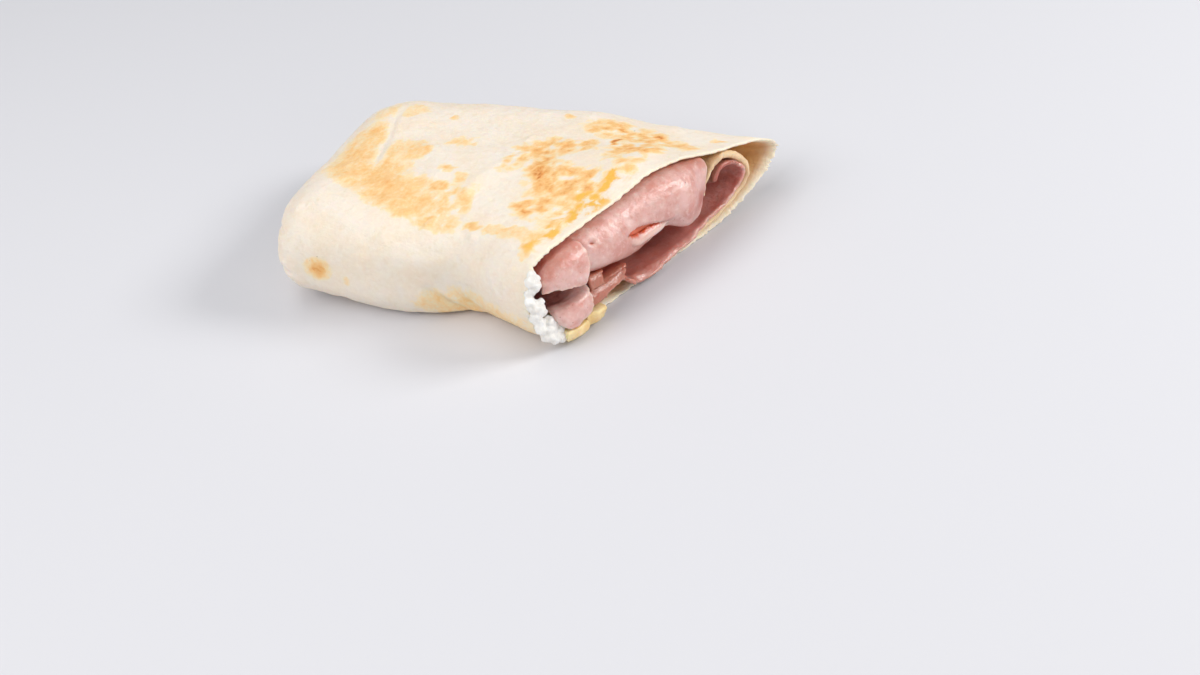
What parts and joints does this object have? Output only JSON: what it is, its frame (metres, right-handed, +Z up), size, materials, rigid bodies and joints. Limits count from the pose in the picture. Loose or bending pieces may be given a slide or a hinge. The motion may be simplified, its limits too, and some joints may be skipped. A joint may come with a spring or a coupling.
{
  "type": "half of a rolled flour wrap with sliced meat and cheese",
  "caption": "Soft flatbread rolled and folded shut, cut across at a slant, with folded cold meat slices and cheese showing at the cut.",
  "frame": {"origin": "middle of the object's box, on the surface that it lies on", "axes": "+X along the roll from the closed end to the cut, +Y across to the cut's pointed side, +Z up"},
  "size_m": [0.1298, 0.0904, 0.0312],
  "materials": {
    "flatbread": "soft griddled flatbread, matt, cream with toasted patches",
    "cold_meat": "moist pink sliced cooked meat",
    "pale_cheese": "pale yellow sliced cheese, slightly see-through at the edge",
    "soft_cheese": "white soft cheese, moist and lumpy"
  },
  "bodies": {
    "root": {"tortilla": "flatbread", "meat_top_fold": "cold_meat", "meat_left_flap": "cold_meat", "meat_low_curl": "cold_meat", "meat_ragged_flap": "cold_meat", "meat_small_flap": "cold_meat", "meat_long_slice": "cold_meat", "cheese_slice": "pale_cheese", "soft_cheese": "soft_cheese"}
  },
  "joints": []
}
